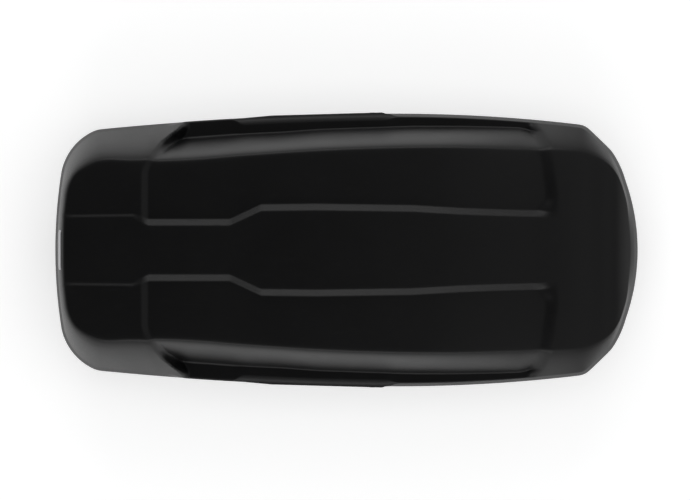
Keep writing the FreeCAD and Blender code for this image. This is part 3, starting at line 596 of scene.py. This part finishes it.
def moulded(name, colour, roughness, grain, depth, wear=0.5, sheen=0.5):
    """Injection-moulded or formed plastic: pebbled grain, uneven gloss, fine scuffs and rubbed edges."""
    finish = Finish(name)
    pebbles = finish.cells(grain, "SMOOTH_F1")
    fine = finish.noise(grain * 2.3, 3.0)
    cloud = finish.noise(5.0, 3.0)
    scuffs = finish.ramp(finish.noise(26.0, 4.0, finish.stretched((1, 9, 9))), (0.60, 0), (0.72, 1))
    edge = finish.make("ShaderNodeAttribute", {"attribute_name": "edge_wear"}).reading("Fac")
    rubbed = edge * finish.ramp(finish.noise(60.0, 3.0), (0.35, 0.2), (0.7, 1)) * wear
    speck = finish.ramp(finish.noise(grain * 0.9, 1.0), (0.45, 0), (0.7, 1))
    shade = finish.tint(cloud * 0.6 + speck * 0.4, lighter(colour, 0.82), lighter(colour, 1.2))
    worn = finish.tint(rubbed * 0.7 + scuffs * 0.12, shade, lighter(colour, 2.2, 0.006))
    gloss = roughness - 0.05 + cloud * 0.1 + scuffs * 0.06 - rubbed * 0.12
    return finish.close(worn, gloss, pebbles * 0.8 + fine * 0.4, depth,
                        {"Specular IOR Level": sheen})


def brushed(name, colour, roughness, lines, depth):
    """Drawn, extruded or ground metal: fine lines along the piece, with faint blotches."""
    finish = Finish(name)
    streaks = finish.noise(1.0, 4.0, finish.stretched(lines))
    blotch = finish.noise(22.0, 3.0)
    shade = finish.tint(streaks * 0.6 + blotch * 0.4, lighter(colour, 0.72), lighter(colour, 1.15))
    return finish.close(shade, roughness - 0.08 + streaks * 0.1 + blotch * 0.1, streaks, depth,
                        {"Metallic": 1.0})


def plated(name, colour, roughness, crystal):
    """Zinc coating: crystals that catch the light in turn, and a dull bloom."""
    finish = Finish(name)
    crystals = finish.cells(crystal, "F1", "Color")
    level = finish.make("ShaderNodeSeparateColor", {}, {"Color": crystals}).reading(0)
    bloom = finish.noise(9.0, 4.0)
    shade = finish.tint(level * 0.55 + bloom * 0.45, lighter(colour, 0.7), lighter(colour, 1.12))
    return finish.close(shade, roughness - 0.1 + level * 0.12 + bloom * 0.14, level * 0.3 + bloom, 0.00005,
                        {"Metallic": 1.0})


def coated(name, colour, roughness, peel):
    """Painted or powder-coated steel: orange peel and small chips of a paler primer."""
    finish = Finish(name)
    skin = finish.noise(peel, 1.5)
    chips = finish.ramp(finish.noise(85.0, 5.0), (0.70, 0), (0.74, 1))
    cloud = finish.noise(8.0, 2.0)
    shade = finish.tint(chips * 0.5 + cloud * 0.1, colour, lighter(colour, 2.5, 0.05))
    return finish.close(shade, roughness - 0.04 + cloud * 0.1 + chips * 0.2, skin - chips * 0.3, 0.0002,
                        {"Coat Weight": 0.15})


def rubbery(name, colour):
    """Moulded rubber: dull, with fine specks and a bloom of dust."""
    finish = Finish(name)
    specks = finish.noise(900.0, 2.0)
    bloom = finish.ramp(finish.noise(14.0, 5.0), (0.4, 0), (0.75, 1))
    shade = finish.tint(bloom * 0.5 + specks * 0.2, colour, lighter(colour, 1.8, 0.012))
    return finish.close(shade, 0.78 + bloom * 0.12, specks + bloom * 0.2, 0.0002, {"Specular IOR Level": 0.3})


LID_PLASTIC = moulded("lid_black_grained", (0.0036, 0.0036, 0.0038), 0.4, 900, 0.00012, 0.4, 0.19)
BOWL_PLASTIC = moulded("bowl_black_coarse", (0.02, 0.02, 0.021), 0.5, 520, 0.00025, 0.6)
TRIM_PLASTIC = moulded("trim_black_satin", (0.016, 0.016, 0.017), 0.36, 1500, 0.00006, 0.4)
HANDLE_PLASTIC = moulded("handle_black_nylon", (0.02, 0.02, 0.021), 0.44, 1100, 0.0001, 0.8)
CLAMP_PLASTIC = moulded("clamp_black_nylon", (0.02, 0.02, 0.021), 0.5, 1000, 0.00015, 0.6)
KNOB_PLASTIC = moulded("knob_grey_nylon", (0.1, 0.1, 0.105), 0.46, 1000, 0.00012, 0.6)
CLAW_PLASTIC = moulded("claw_grey_acetal", (0.07, 0.07, 0.075), 0.34, 1400, 0.00005, 0.4)
RIB_PLASTIC = moulded("stiffener_black", (0.03, 0.03, 0.031), 0.5, 800, 0.0002, 0.4)
JAW_COATING = coated("jaw_powder_coat", (0.018, 0.018, 0.018), 0.42, 420.0)
STRUT_COATING = coated("strut_black_paint", (0.014, 0.014, 0.014), 0.24, 220.0)
ZINC = plated("striker_zinc", (0.55, 0.55, 0.56), 0.36, 260.0)
SCREW_ZINC = plated("fastener_zinc", (0.5, 0.5, 0.5), 0.34, 420.0)
BASE_RAIL_ZINC = plated("base_rail_galvanised", (0.5, 0.5, 0.51), 0.42, 90.0)
RAIL_METAL = brushed("rail_aluminium", (0.62, 0.62, 0.64), 0.36, (4, 900, 900), 0.00002)
ROD_METAL = brushed("rod_ground_steel", (0.6, 0.6, 0.62), 0.2, (900, 40, 40), 0.00001)
BADGE_METAL = brushed("badge_satin_grey", (0.33, 0.33, 0.34), 0.34, (900, 10, 900), 0.00002)
KEY_METAL = brushed("key_satin_nickel", (0.55, 0.55, 0.56), 0.28, (120, 40, 120), 0.00002)
RUBBER = rubbery("seat_rubber", (0.02, 0.02, 0.02))

NODE_FINISHES = {
    "bowl": BOWL_PLASTIC, "bar_seats": RUBBER, "strikers": ZINC, "base_rail": BASE_RAIL_ZINC,
    "base_rivets": SCREW_ZINC, "lid_rail": RAIL_METAL, "rail_screws": SCREW_ZINC, "strut_brackets": ZINC,
    "side_trim": TRIM_PLASTIC, "handle": HANDLE_PLASTIC, "handle_pin": SCREW_ZINC, "claws": CLAW_PLASTIC,
    "lock_bar": ZINC, "key_barrel": KEY_METAL, "strut_tube": STRUT_COATING, "strut_rod": ROD_METAL,
    "clamp_carriage": CLAMP_PLASTIC, "clamp_jaw": JAW_COATING, "clamp_spindle": ZINC,
    "clamp_knob": KNOB_PLASTIC, "lid_shell": LID_PLASTIC, "lid_stiffeners": RIB_PLASTIC,
    "rear_badge_plate": BADGE_METAL,
}


def dress_nodes():
    """Gives each CAD node the finish with the longest matching name."""
    for name, node in NODES.items():
        key = max((key for key in NODE_FINISHES if name.startswith(key)), key=len)
        node.data.materials.clear()
        node.data.materials.append(NODE_FINISHES[key])


def lid():
    """The moulded lid. Gives back its outer face, for the pieces that lie on it."""
    mesh = lid_surface()
    shade_smooth(mesh)
    mark_edges(mesh)
    piece = add_object("lid", mesh, LID_PLASTIC)
    wall = piece.modifiers.new("wall", "SOLIDIFY")
    wall.thickness = LID_WALL * MM
    wall.offset = -1
    wall.use_even_offset = True
    wall.use_quality_normals = True
    outside = BVHTree.FromPolygons([vertex.co.copy() for vertex in mesh.vertices],
                                   [tuple(face.vertices) for face in mesh.polygons])
    settled_mesh(piece)
    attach(piece, "lid")
    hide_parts("lid_shell")
    return outside


def strip_tree(name, finish):
    """Geometry Nodes that sweep a rounded bar along lines, with its size as inputs."""
    tree = bpy.data.node_groups.new(name, "GeometryNodeTree")
    interface = tree.interface
    interface.new_socket("Lines", in_out="INPUT", socket_type="NodeSocketGeometry")
    for label in ("Width", "Height", "Corner"):
        interface.new_socket(label, in_out="INPUT", socket_type="NodeSocketFloat")
    interface.new_socket("Bars", in_out="OUTPUT", socket_type="NodeSocketGeometry")
    kinds = ("NodeGroupInput", "GeometryNodeMeshToCurve", "GeometryNodeSetCurveNormal",
             "GeometryNodeCurvePrimitiveQuadrilateral", "GeometryNodeFilletCurve", "GeometryNodeCurveToMesh",
             "GeometryNodeRealizeInstances", "GeometryNodeSetMaterial", "NodeGroupOutput")
    given, lines, level, shape, rounded, sweep, real, paint, out = (tree.nodes.new(kind) for kind in kinds)
    level.mode = "Z_UP"
    rounded.mode = "POLY"
    rounded.inputs["Count"].default_value = 4
    sweep.inputs["Fill Caps"].default_value = True
    paint.inputs["Material"].default_value = finish
    for start, end in (
            (given.outputs["Lines"], lines.inputs[0]), (lines.outputs[0], level.inputs[0]),
            (given.outputs["Width"], shape.inputs["Width"]),
            (given.outputs["Height"], shape.inputs["Height"]),
            (given.outputs["Corner"], rounded.inputs["Radius"]), (shape.outputs[0], rounded.inputs[0]),
            (level.outputs[0], sweep.inputs["Curve"]), (rounded.outputs[0], sweep.inputs["Profile Curve"]),
            (sweep.outputs[0], real.inputs[0]), (real.outputs[0], paint.inputs["Geometry"]),
            (paint.outputs[0], out.inputs[0])):
        tree.links.new(start, end)
    return tree


def run_tree(piece, tree, **sizes):
    """The piece with the nodes run at these sizes, as a plain mesh."""
    modifier = piece.modifiers.new("build", "NODES")
    modifier.node_group = tree
    for item in tree.interface.items_tree:
        if item.in_out == "INPUT" and item.name in sizes:
            modifier[item.identifier] = sizes[item.name]
    return settled_mesh(piece)


def joined(name, parts):
    """One piece made of several, with their materials kept."""
    shape = bmesh.new()
    materials = []
    for part in parts:
        finish = part.data.materials[0]
        if finish not in materials:
            materials.append(finish)
        before = len(shape.faces)
        shape.from_mesh(part.data)
        shape.faces.ensure_lookup_table()
        for face in shape.faces[before:]:
            face.material_index = materials.index(finish)
        bpy.data.objects.remove(part)
    mesh = bpy.data.meshes.new(name)
    shape.to_mesh(mesh)
    shape.free()
    for finish in materials:
        mesh.materials.append(finish)
    return add_object(name, mesh)


def stiffeners(outside):
    """Cross bars under the top: a bar with three ribs below it, bent to the lid's inner face."""
    low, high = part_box("lid_stiffeners")
    width, depth, gap, corner = 0.030, 0.020, 0.0006, 0.3
    rib_out, rib_width, rib_height = 0.009, 0.005, 0.004
    stops, least_level = 60, 0.8
    up = Vector((0, 0, 1))
    tree = strip_tree("cross_bar", RIB_PLASTIC)
    sections = [(0, width, depth, 0)]
    sections += [(out, rib_width, rib_height, depth) for out in (-rib_out, 0, rib_out)]
    parts = []
    for shift, wide, tall, drop in sections:
        points, edges = [], []
        for middle in (low.x + width / 2, high.x - width / 2):
            line = []
            for y in np.linspace(low.y, high.y, stops):
                hit, normal = outside.ray_cast(Vector((middle, y, RIM_Z)), up)[:2]
                if hit is None or abs(normal.z) < least_level:
                    continue
                lowest = min(outside.ray_cast(Vector((middle + step, y, RIM_Z)), up)[0].z
                             for step in (-width / 2, width / 2))
                top = min(hit.z, lowest) - LID_WALL * MM / abs(normal.z) - gap
                line.append((middle + shift, y, top - drop - tall / 2))
            edges += [(len(points) + number, len(points) + number + 1) for number in range(len(line) - 1)]
            points += line
        mesh = bpy.data.meshes.new("bar_lines")
        mesh.from_pydata(points, edges, [])
        parts.append(run_tree(add_object("bar_lines", mesh), tree, Width=wide, Height=tall,
                              Corner=min(wide, tall) * corner))
    piece = joined("cross_bars", parts)
    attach(piece, "lid")
    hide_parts("lid_stiffeners")


def floor_ribs():
    """Raised ribs along the bowl's floor, between the two base rails."""
    low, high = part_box("base_rail_left")
    count, from_rail, width, height, corner = 7, 0.030, 0.016, 0.006, 0.0024
    tree = strip_tree("floor_rib", BOWL_PLASTIC)
    points, edges = [], []
    for out in np.linspace(from_rail - low.y, low.y - from_rail, count):
        edges.append((len(points), len(points) + 1))
        points += [(low.x + from_rail, out, low.z), (high.x - from_rail, out, low.z)]
    mesh = bpy.data.meshes.new("rib_lines")
    mesh.from_pydata(points, edges, [])
    piece = run_tree(add_object("floor_ribs", mesh), tree, Width=width, Height=height, Corner=corner)
    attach(piece, "base")


def badge(outside):
    """Bare plate on the rear, near the top of the lid, with rounded corners and edges and a shallow dish."""
    low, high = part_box("rear_badge_plate")
    half, tall, middle = high.y, (high.z - low.z) / 2, (high.z + low.z) / 2
    rows, count, power = 13, 29, 9
    proud, edge, dish, dish_within, thick = 0.0022, 0.18, 0.0006, 0.7, 0.0026
    points = []
    for row in np.linspace(-1, 1, rows):
        for place in np.linspace(-1, 1, count):
            ring = max(abs(row), abs(place))
            pull = ring / max((abs(row) ** power + abs(place) ** power) ** (1 / power), 1e-9)
            y, z = half * place * pull, middle + tall * row * pull
            hit = outside.ray_cast(Vector((LID_LOW.x - 0.1, y, z)), Vector((1, 0, 0)))[0]
            rounding = max(0.0, (ring - 1 + edge) / edge) ** 2 * 0.5
            points.append((hit.x - proud * (1 - rounding) + dish * (ring < dish_within), y, z))
    mesh = bpy.data.meshes.new("badge")
    mesh.from_pydata(points, [], [tuple(reversed(face)) for face in grid_faces(rows, count, 0)])
    if mesh.polygons[0].normal.x > 0:
        mesh.flip_normals()
    shade_smooth(mesh)
    piece = add_object("rear_plate", mesh, BADGE_METAL)
    wall = piece.modifiers.new("wall", "SOLIDIFY")
    wall.thickness = thick
    wall.offset = -1
    settled_mesh(piece)
    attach(piece, "lid")
    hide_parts("rear_badge_plate")


# Light, floor and camera. The world's strength beside, ahead of and behind the box, each as stops from
# level (0) to straight up (1).
SIDE_LIGHT = ((0.25, 1.0), (0.6, 0.6), (0.8, 0.27), (1.0, 0.08))
NOSE_LIGHT = ((0.3, 0.3), (0.5, 1.0), (0.88, 0.75), (1.0, 0.08))
REAR_LIGHT = ((0.38, 0.95), (0.52, 0.04), (0.9, 0.05), (1.0, 0.08))


def white_floor():
    """A floor that is seen as white, and still takes the box's shadow."""
    floor = bpy.data.meshes.new("floor")
    reach = 9.0
    floor.from_pydata([(-reach, -reach, 0), (reach, -reach, 0), (reach, reach, 0), (-reach, reach, 0)], [],
                      [(0, 1, 2, 3)])
    finish = Finish("floor_white")
    path = finish.make("ShaderNodeLightPath")
    seen = path.reading("Is Camera Ray") + path.reading("Is Glossy Ray") + path.reading("Is Transmission Ray")
    shader = finish.make("ShaderNodeBsdfPrincipled", {}, {
        "Base Color": (0.82, 0.82, 0.82, 1), "Roughness": 0.9, "Specular IOR Level": 0.1,
        "Emission Color": finish.tint(seen, (0, 0, 0), (1, 1, 1)), "Emission Strength": 0.42})
    finish.make("ShaderNodeOutputMaterial", {}, {"Surface": shader.reading()})
    add_object("floor", floor, finish.material)


def softbox(name, size, watts, place, tilt=0.0):
    lamp = bpy.data.lights.new(name, "AREA")
    lamp.shape = "RECTANGLE"
    lamp.size, lamp.size_y = size
    lamp.energy = watts
    box = add_object(name, lamp)
    box.location = place
    box.rotation_euler = (math.radians(tilt), 0, 0)
    return box


def softboxes():
    """One lamp on each side, and one above that leaves no reflection."""
    for side in (1, -1):
        softbox("side_softbox", (4.0, 1.4), 50, (0, side * 3.2, 1.9), side * -62)
    top = softbox("top_softbox", (5.0, 5.0), 70, (0, 0, 6.0))
    top.visible_glossy = False


def studio():
    """The world: white to the camera, and for its light a blend of the three levels by direction."""
    world = bpy.data.worlds.new("studio")
    sky = Finish("studio", world)
    towards = sky.make("ShaderNodeSeparateXYZ", {}, {0: sky.make("ShaderNodeTexCoord").reading("Generated")})
    x, y, z = (towards.reading(axis) for axis in "XYZ")
    beside = sky.ramp(z, *SIDE_LIGHT)
    ahead = sky.ramp(z, *NOSE_LIGHT)
    behind = sky.ramp(z, *REAR_LIGHT)
    nose_share = sky.ramp(x * 2 + 0.5, (0, 0), (1, 1))
    side_share = sky.ramp(y * y / (1.0001 - z * z), (0.15, 0), (0.5, 1))
    ends = ahead * nose_share + behind * (1 - nose_share)
    level = beside * side_share + ends * (1 - side_share)
    seen = sky.make("ShaderNodeLightPath").reading("Is Camera Ray")
    light = sky.make("ShaderNodeBackground", {}, {"Strength": level * (1 - seen) + seen})
    sky.make("ShaderNodeOutputWorld", {}, {"Surface": light.reading()})
    bpy.context.scene.world = world


def camera():
    """Looks down on the box from far above, slightly from the nose."""
    lens = bpy.data.cameras.new("overhead")
    lens.sensor_width = 36.0
    lens.lens = 292.0
    lens.clip_end = 60.0
    eye = add_object("overhead", lens)
    eye.location = (0.516, 0, 17.0)
    target = Vector((0, 0, 0.3))
    eye.rotation_euler = (0, math.atan2(eye.location.x - target.x, eye.location.z - target.z), 0)
    bpy.context.scene.camera = eye
    bpy.context.scene.view_settings.view_transform = "Standard"


camera()
white_floor()
softboxes()
studio()
dress_nodes()
OUTSIDE = lid()
badge(OUTSIDE)
stiffeners(OUTSIDE)
floor_ribs()
